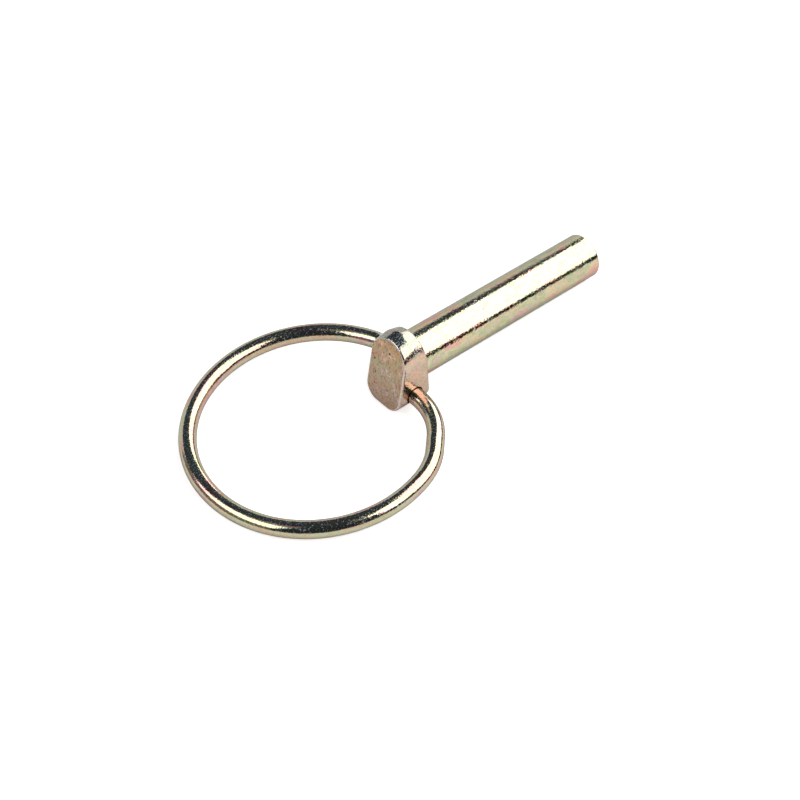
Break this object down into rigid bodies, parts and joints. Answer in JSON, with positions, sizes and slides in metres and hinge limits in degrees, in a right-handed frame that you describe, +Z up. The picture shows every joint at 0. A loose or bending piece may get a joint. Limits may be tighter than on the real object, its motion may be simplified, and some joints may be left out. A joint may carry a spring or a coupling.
{
  "type": "lynch pin",
  "caption": "Straight round steel pin with a flat forged head and a wire ring hinged in a cross hole, pushed through a shaft or drawbar to lock it.",
  "frame": {"origin": "on the table under the middle of the lying part's bounding box", "axes": "+X towards the tip of the shank, +Z up from the table, +Y to the ring's hooked end"},
  "size_m": [0.1014, 0.0554, 0.0173],
  "materials": {
    "pin_plating": "yellow zinc plating on forged steel, satin with faint pink, olive and gold shifts",
    "ring_plating": "yellow zinc plating on drawn wire, bright, with gold, orange and green shifts"
  },
  "bodies": {
    "pin": {"pin": "pin_plating"},
    "ring": {"ring": "ring_plating"}
  },
  "joints": [
    {"name": "ring_swing", "type": "hinge", "parent": "pin", "child": "ring", "pos_m": [-0.00332, -0.0029, 0.00399], "axis": [0, 1, 0], "range_deg": [-170.5, 171.5]}
  ]
}
